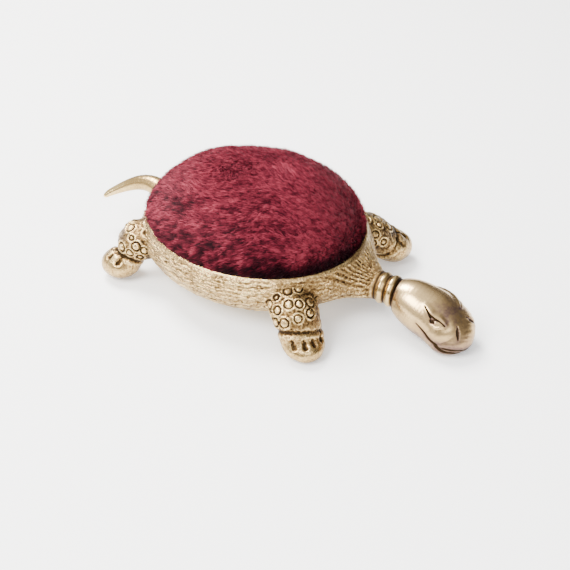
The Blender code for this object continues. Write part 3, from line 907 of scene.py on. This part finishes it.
def make_head_casting():
    points, quads, creases = sculpt_head()
    points = relaxed(points, quads, 1)
    points[:, 2] = np.maximum(points[:, 2], 0.0)
    head = new_piece("turtle_head", points, quads[:, ::-1], polished_gold())
    # Painted shade in the parting gap: the head's back darkens towards the collar.
    painted_gap_shade = 1 - smooth_step(HEAD_BACK + 0.1, HEAD_BACK + 1.0, points[:, 0])
    soot = 1.35 * soot_along(points, creases, 0.05) + 0.25 * soot_along(points, creases, 0.9)
    # Painted shade: the head darkens towards its bottom, in place of the darker reflections on its underside.
    painted_low_shade = 0.50 * (1 - smooth_step(4.0, 11.0, points[:, 2]))
    gap = np.linalg.norm((points - TARNISH) / TARNISH_REACH, axis=1)
    tarnish = np.clip(1.15 - gap + 0.35 * layered_noise(points / 1.6, 21), 0, 1)
    tarnish *= points[:, 2] > TARNISH_LOW
    store(head, hollow=0.5 * hollows(points, quads, 14, 0.16) + 1.2 * painted_gap_shade + soot + painted_low_shade,
          tarnish=tarnish)
    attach(head, "head")
    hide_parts("head_casting")


# ---- the tape

def apply_modifiers(obj):
    mesh = bpy.data.meshes.new_from_object(obj.evaluated_get(bpy.context.evaluated_depsgraph_get()))
    obj.modifiers.clear()
    obj.data = mesh


def thicken(obj, thickness, offset):
    solidify = obj.modifiers.new("thickness", "SOLIDIFY")
    solidify.thickness = thickness * MM
    solidify.offset = offset


def make_tape_ribbon():
    """The tape from the coil through the neck to the head."""
    start = np.array([STRIP[0][0], STRIP[1][1] - 0.1])
    out = start - ((COIL[0] + COIL[1]) / 2)[:2]
    along = np.array([out[1], -out[0]]) / np.linalg.norm(out)
    guide = start + along * (-start[1] / along[1])
    turning = [start + (guide - start) * i / 12 for i in range(12)]
    straight = [np.array([x, 0.0]) for x in np.linspace(guide[0], STRIP[1][0], 70)]
    line = turning + straight
    points = [(x, y, z) for x, y in line for z in (STRIP[0][2], STRIP[1][2])]
    quads = [(2 * i, 2 * i + 2, 2 * i + 3, 2 * i + 1) for i in range(len(line) - 1)]
    tape = new_piece("tape_ribbon", points, quads, printed_tape())
    thicken(tape, 0.22, 0.0)
    apply_modifiers(tape)
    to_frame((guide[0] + 0.5, 0, NECK_Z))
    to_frame((HEAD_BACK, 0, NECK_Z))
    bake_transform(tape)
    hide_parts("tape_strip")


# ---- the cushion

RINGS_ON_DOME = 26
SPOKES = 96
DOME_TOP = COVER[1][2]
SHOULDER = RIM_TOP + 0.3
CROWN_DROP = 0.2  # the pile stands this much above the woven ground at the crown
CLOTH_FRAMES = 20
CLOTH_LIMIT = 1.2 * MM  # no point of the sheet is moved further than this
CLOTH_SETTINGS = {"quality": 6, "mass": 0.02, "tension_stiffness": 12, "compression_stiffness": 12,
                  "bending_stiffness": 0.3, "use_pressure": True, "uniform_pressure_force": 4.0}


def cushion_rings():
    """(radius, height) from the crown to the edge, down the rim's inside wall and in under the board."""
    rings = []
    for i in range(1, RINGS_ON_DOME + 1):
        share = math.sin(math.pi / 2 * i / RINGS_ON_DOME)
        height = SHOULDER + (DOME_TOP - CROWN_DROP - SHOULDER) * (1 - share**2.5) ** 0.5
        rings.append(((OPENING - 0.4) * share, height))
    hem = COVER[0][2] + 0.35
    rings += [(OPENING - 0.6, RIM_TOP), (OPENING - 0.6, hem + 0.8), (OPENING - 1.4, hem), (27.5, hem)]
    return rings


def ring_faces(count):
    """Quads between rings of points and, last, the fan that joins the first ring to the crown, point 0."""
    spokes = [(1 + k, 1 + (k + 1) % SPOKES) for k in range(SPOKES)]
    quads = []
    for start in range(0, (count - 1) * SPOKES, SPOKES):
        quads += [(start + a, start + a + SPOKES, start + b + SPOKES, start + b) for a, b in spokes]
    return quads + [(0, a, b) for a, b in spokes]


def new_sheet(name, points, faces, material):
    """A mesh object from sculpting points in millimetres and a mixed list of faces."""
    mesh = bpy.data.meshes.new(name)
    mesh.from_pydata([tuple(point) for point in to_frame(points)], [], faces)
    mesh.update()
    return add_mesh(name, mesh, material)


def inflate(obj, pinned):
    """Lets the cloth solver press a sheet out from inside, its pinned points held, and keeps the result."""
    group = obj.vertex_groups.new(name="pinned")
    group.add(pinned, 1.0, "REPLACE")
    cloth = obj.modifiers.new("cloth", "CLOTH")
    for name, value in CLOTH_SETTINGS.items():
        setattr(cloth.settings, name, value)
    cloth.settings.effector_weights.gravity = 0.0
    cloth.settings.vertex_group_mass = "pinned"
    cloth.point_cache.frame_start = 1
    cloth.point_cache.frame_end = CLOTH_FRAMES
    before = vertex_places(obj)
    for number in range(1, CLOTH_FRAMES + 1):
        bpy.context.scene.frame_set(number)
    apply_modifiers(obj)
    bpy.context.scene.frame_set(1)
    move = vertex_places(obj) - before
    length = np.linalg.norm(move, axis=1)
    after = before + move * np.minimum(1, CLOTH_LIMIT / np.maximum(length, 1e-12))[:, None]
    obj.data.vertices.foreach_set("co", after.astype(np.float32).ravel())
    obj.data.update()


def make_cushion_skin():
    """The velvet's woven ground: one sheet from the crown to its hem under the board."""
    rings = cushion_rings()
    points = [(0.0, 0.0, DOME_TOP - CROWN_DROP)]
    for radius, height in rings:
        for k in range(SPOKES):
            turn = 2 * math.pi * k / SPOKES
            points.append((radius * math.cos(turn), radius * WIDTH_RATIO * math.sin(turn), height))
    points = np.array(points)
    dents = layered_noise(points / (13.0, 11.0, 13.0), 40)
    on_dome = smooth_step(SHOULDER, SHOULDER + 5, points[:, 2])
    points[:, 2] += 0.55 * dents * on_dome - 0.3 * on_dome
    skin = new_sheet("velvet_cushion", points, ring_faces(len(rings)), velvet_ground())
    inflate(skin, [int(i) for i in np.flatnonzero(points[:, 2] < SHOULDER + 0.3)])
    thicken(skin, 0.5, -1.0)
    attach(skin, "body")
    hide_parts("velvet_cover")
    return skin


def make_wadding(skin):
    """The stuffing: the skin's dome drawn in a little, closed by a flat bottom on the board."""
    bottom = BOARD[1][2] + 0.3
    count = 1 + SPOKES * (RINGS_ON_DOME + 1)
    points = vertex_places(skin)[:count] / MM - OPENING_CENTRE
    lump = 0.12 * layered_noise(points / 2.5, 60)
    points *= (0.95, 0.95, 1.0)
    points[:, 2] = np.maximum(points[:, 2] - 1.3 + lump, bottom + 0.6)
    edge = points[-SPOKES:].copy()
    edge[:, :2] *= 0.985
    edge[:, 2] = bottom
    points = np.vstack([points, edge, [(0, 0, bottom)]])
    last = len(points) - 1
    underside = [(last, last - SPOKES + (k + 1) % SPOKES, last - SPOKES + k) for k in range(SPOKES)]
    wool = fibrous("wadding_looks", (0.82, 0.78, 0.68), (0.55, 0.50, 0.40), 900.0, 0.5)
    pad = new_sheet("wadding_pad", points, ring_faces(RINGS_ON_DOME + 2) + underside, wool)
    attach(pad, "body")
    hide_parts("cushion_filling")


# ---- the pile

PILE_PARTS = 2
BLADE_COUNT = 60000  # in each part
TUFT_COUNT = 7000
PILE_LENGTH = 2.5
BLADE_WIDTH = 0.11
TUFT_PULL = 0.62  # how far a blade's tip is drawn to the middle of its tuft
COMB_TURN = math.radians(208)  # the way the pile mostly lies, as a turn about Z from +X
# Where the pile swirls: place, size and turn
WHORLS = [((-6.0, -2.0), 6.5, 0.9), ((7.5, 6.5), 5.0, -0.8), ((10.0, -15.0), 6.0, 0.7),
          ((-14.0, -13.0), 5.0, -0.6)]


def unit(vectors):
    return vectors / np.maximum(np.linalg.norm(vectors, axis=1), 1e-9)[:, None]


def scattered(obj, count, lowest):
    """Random points on the shown upper surface, with their normals, in millimetres."""
    obj.data.calc_loop_triangles()
    corners = np.array([triangle.vertices for triangle in obj.data.loop_triangles])
    places = vertex_places(obj) / MM - OPENING_CENTRE
    sideways = np.array([vertex.normal for vertex in obj.data.vertices])
    corners = corners[places[corners][:, :, 2].mean(1) > lowest]
    a, b, c = (places[corners[:, i]] for i in range(3))
    area = np.linalg.norm(np.cross(b - a, c - a), axis=1)
    chosen = RANDOM.choice(len(corners), count, p=area / area.sum())
    u, v = RANDOM.random((2, count))
    flip = u + v > 1
    u[flip], v[flip] = 1 - u[flip], 1 - v[flip]
    weights = np.stack([1 - u - v, u, v], 1)[:, :, None]
    return (places[corners[chosen]] * weights).sum(1), unit((sideways[corners[chosen]] * weights).sum(1))


def combed(points):
    """The level direction in which the pile lies at each point."""
    turn = np.full(len(points), COMB_TURN)
    turn += 0.28 * layered_noise(points / (12.0, 12.0, 30.0), 11)
    turn += 0.35 * lattice_noise(points / 1.8, 15)
    for (x, y), size, swing in WHORLS:
        turn += swing * 1.5 * bell(np.hypot(points[:, 0] - x, points[:, 1] - y), 0.0, size)
    return np.stack([np.cos(turn), np.sin(turn), np.zeros(len(points))], 1)


def lying(roots, normals, tuft_roots, tuft, at_edge):
    """The way each blade lies: mostly as its tuft does, along the ground, and outward at the edge."""
    comb = combed(tuft_roots)[tuft] + 0.3 * combed(roots)
    comb = unit(comb - normals * (comb * normals).sum(1)[:, None])
    comb = unit(comb + 0.16 * RANDOM.normal(size=comb.shape))
    outward = unit(roots * (1, 1, 0) + (0, 0, 1e-6))
    return unit(comb + outward * (0.5 * at_edge)[:, None])


def blades(roots, normals, comb, lift, length, tuft_gap):
    """Points and triangles of tapered blades, each with two pairs of points and a tip."""
    across = unit(np.cross(comb, normals))
    across = unit(across + 0.30 * RANDOM.normal(size=across.shape))
    width = BLADE_WIDTH * (1 + 0.25 * RANDOM.random(len(roots)))
    levels = []
    for share, thin in ((0.0, 1.0), (0.55, 0.85), (1.0, 0.0)):
        rise = length * lift * share * (1.25 - 0.45 * share) - 0.1
        run = length * (1 - 0.45 * lift) * share**1.4
        centre = roots + normals * rise[:, None] + comb * run[:, None] + tuft_gap * share
        side = across * (width * thin)[:, None]
        levels += [centre - side, centre + side] if thin else [centre]
    first = np.arange(len(roots))[:, None] * len(levels)
    triangles = np.concatenate([first + corner for corner in ([0, 1, 3], [0, 3, 2], [2, 3, 4])])
    return np.stack(levels, 1).reshape(-1, 3), triangles


def make_pile(skin, number):
    """Plush pile as separate tapered blades that lean the way they are combed, gathered into tufts."""
    roots, normals = scattered(skin, BLADE_COUNT, SHOULDER - 0.7)
    tuft_roots, _ = scattered(skin, TUFT_COUNT, SHOULDER - 0.7)
    tuft = nearest(roots, tuft_roots)[1]
    at_edge = smooth_step(0.88, 1.0, oval_radius(roots[:, 0], roots[:, 1]) / OPENING)
    comb = lying(roots, normals, tuft_roots, tuft, at_edge)
    mood = RANDOM.uniform(-1, 1, len(tuft_roots))[tuft]
    lift = np.clip(0.36 + 0.12 * mood + 0.08 * RANDOM.normal(size=len(roots)), 0.12, 0.8)
    length = PILE_LENGTH * (1 + 0.12 * mood + 0.12 * RANDOM.normal(size=len(roots)))
    rear_right = smooth_step(0.3, 0.9, -(roots[:, 0] + 1.5 * roots[:, 1]) / 40.0)
    ragged = at_edge * rear_right * lattice_noise(roots / 1.3, 83)
    length *= 1 - 0.25 * at_edge + 0.7 * np.maximum(ragged, 0)
    tuft_gap = (tuft_roots[tuft] - roots) * TUFT_PULL
    points, triangles = blades(roots, normals, comb, lift, length, tuft_gap)
    pile = new_piece(f"velvet_pile_{number}", points, triangles, velvet_pile())
    # pile_light adds painted light and shade to each blade's tone.
    each = 0.22 * RANDOM.normal(size=len(roots)) + 0.44 * mood + pile_light(roots)
    # Painted shade in the notches of the ragged edge, where the tufts stay short.
    each = (each + 0.8 * np.minimum(ragged, 0))[:, None]
    # Painted shade: each blade is darkest at its root, deep among the fibres, and lightest at its tip.
    root_to_tip = np.array([0.12, 0.12, 0.50, 0.50, 0.72])
    store(pile, shade=np.clip(root_to_tip * (1 + 0.8 * each) + 0.14 * each, 0, 1).ravel())
    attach(pile, "body")


def pile_light(roots):
    """Broad changes of tone: crushed patches and streaks, and painted light and shade: painted shade over the
    lower front, towards the tail end of the edge and round the outermost edge, painted light towards the
    head's end, and a painted shadow along the edge behind the neck.
    """
    x, y, z = roots.T
    edge = oval_radius(x, y) / OPENING
    turn = np.arctan2(y / WIDTH_RATIO, x)
    low = smooth_step(0.965, 1.0, edge)
    patches = 0.07 * layered_noise(roots / (10.0, 10.0, 30.0), 77)
    lie = np.array([math.cos(COMB_TURN), math.sin(COMB_TURN)])
    along, across = roots[:, :2] @ lie, roots[:, :2] @ (-lie[1], lie[0])
    streaks = layered_noise(np.stack([along / 2.6, across / 0.55, z / 3.0], 1), 81)
    streaks *= 0.16 + 0.26 * smooth_step(6, -12, y)
    crushed = 0.36 * np.clip(layered_noise(roots / (3.2, 2.2, 9.0), 79), -1, 1) * smooth_step(-6, -18, y)
    # Painted shade towards the edge on the tail side.
    left = -0.20 * smooth_step(0.45, 1.0, edge * np.cos(turn - COMB_TURN))
    # Painted light towards the head's end.
    right = 0.24 * smooth_step(0.3, 0.9, edge * np.cos(turn))
    # Painted shade over the front.
    front = -0.20 * smooth_step(-2.0, 20.0, -y)
    # Painted shadow along the edge behind the neck.
    behind_neck = -2.1 * low * np.clip(np.cos(turn + 0.35), 0, 1) ** 3
    # The last term is painted shade round the outermost edge, in the gap to the rim.
    return patches + streaks + crushed + right + left + front + behind_neck - 0.20 * low


# ---- the carried-over pieces

def dress_cad_nodes():
    """Materials for the CAD nodes whose own shape is shown."""
    brass = sheet_metal("brass_sheet_looks", (0.78, 0.64, 0.38), (0.42, 0.31, 0.15), 0.34, 0)
    tin = sheet_metal("tinplate_looks", (0.72, 0.72, 0.70), (0.40, 0.40, 0.39), 0.36, 1)
    steel = sheet_metal("steel_looks", (0.62, 0.62, 0.62), (0.30, 0.30, 0.31), 0.30, 2)
    card = fibrous("card_looks", (0.52, 0.47, 0.39), (0.36, 0.31, 0.25), 1200.0, 0.1)
    thread = fibrous("thread_looks", (0.75, 0.69, 0.57), (0.48, 0.42, 0.32), 2600.0, 0.4)
    dressed = {brass: ("base_plate",), tin: ("case_cup", "case_lid", "spool", "spool_flange"),
               steel: ("base_screw_1", "base_screw_2", "base_screw_3", "spindle", "guide_pin_left",
                       "guide_pin_right", "mainspring", "tape_set_pin"),
               card: ("cushion_board",), thread: ("gather_thread",), wound_tape(): ("tape_coil",)}
    for material, nodes in dressed.items():
        for node in nodes:
            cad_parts[node].data.materials.clear()
            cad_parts[node].data.materials.append(material)


# ---- floor, light and camera

def make_floor():
    bpy.ops.mesh.primitive_plane_add(size=6.0)
    floor = bpy.context.object
    floor.name = "floor"
    material, tree = new_material("floor_looks", 0.0, 0.85)
    set_shader(tree, {"Base Color": (0.95, 0.95, 0.95, 1.0), "Emission Color": (1.0, 1.0, 1.0, 1.0),
                      "Emission Strength": 0.35})
    floor.data.materials.append(material)


def add_light(name, place, target, size, power, colour=(1, 1, 1)):
    data = bpy.data.lights.new(name, "AREA")
    data.size = size
    data.energy = power
    data.color = colour
    light = add_object(name, data)
    light.location = place
    light.rotation_euler = (Vector(target) - Vector(place)).to_track_quat("-Z", "Y").to_euler()


def make_lights():
    """A bright sky towards the tail, dark beyond the neck, and a soft key, window and fill light."""
    world = bpy.data.worlds.new("studio")
    world.use_nodes = True
    tree = world.node_tree
    direction = add_node(tree, "TexCoord").outputs["Generated"]
    towards_tail = add_vector_math(tree, "DOT_PRODUCT", direction, (-0.48, -0.22, 0.85))
    sky = add_ramp(tree, towards_tail, [(0.18, (0.13, 0.12, 0.12)), (0.80, (1.0, 1.0, 1.0))])
    set_input(tree, tree.nodes["Background"].inputs["Color"], sky)
    set_input(tree, tree.nodes["Background"].inputs["Strength"], 1.7)
    bpy.context.scene.world = world
    add_light("key", (-0.33, 0.12, 0.55), (0, 0, 0.01), 0.26, 12.3, (1.0, 0.98, 0.95))
    add_light("window", (-0.15, -0.42, 0.52), (0.02, 0, 0.01), 0.34, 10.0, (1.0, 0.99, 0.97))
    add_light("fill", (0.45, -0.30, 0.35), (0, 0, 0.01), 0.40, 2.2)


CAMERA_TURN = math.radians(29.8)
CAMERA_RISE = math.radians(36.9)
CAMERA_ROLL = math.radians(1.6)
CAMERA_FAR = 333.7 * MM
FIELD_OF_VIEW = math.radians(30.0)


def make_camera():
    """The main view, from in front of the turtle's right shoulder and above it."""
    target = Vector(to_frame((11.4, -1.1, 0.0)))
    level = math.cos(CAMERA_RISE)
    back = Vector((math.sin(CAMERA_TURN) * level, -math.cos(CAMERA_TURN) * level, math.sin(CAMERA_RISE)))
    camera = add_object("camera", bpy.data.cameras.new("camera"))
    camera.data.angle = FIELD_OF_VIEW
    camera.data.clip_start = 0.01
    camera.location = target + back * CAMERA_FAR
    upright = (-back).to_track_quat("-Z", "Y").to_matrix()
    camera.rotation_euler = (upright @ Matrix.Rotation(CAMERA_ROLL, 3, "Z")).to_euler()
    bpy.context.scene.camera = camera


make_camera()
make_lights()
make_floor()
make_body_casting()
make_head_casting()
make_tape_ribbon()
cushion = make_cushion_skin()
make_wadding(cushion)
for part in range(1, PILE_PARTS + 1):
    make_pile(cushion, part)
dress_cad_nodes()
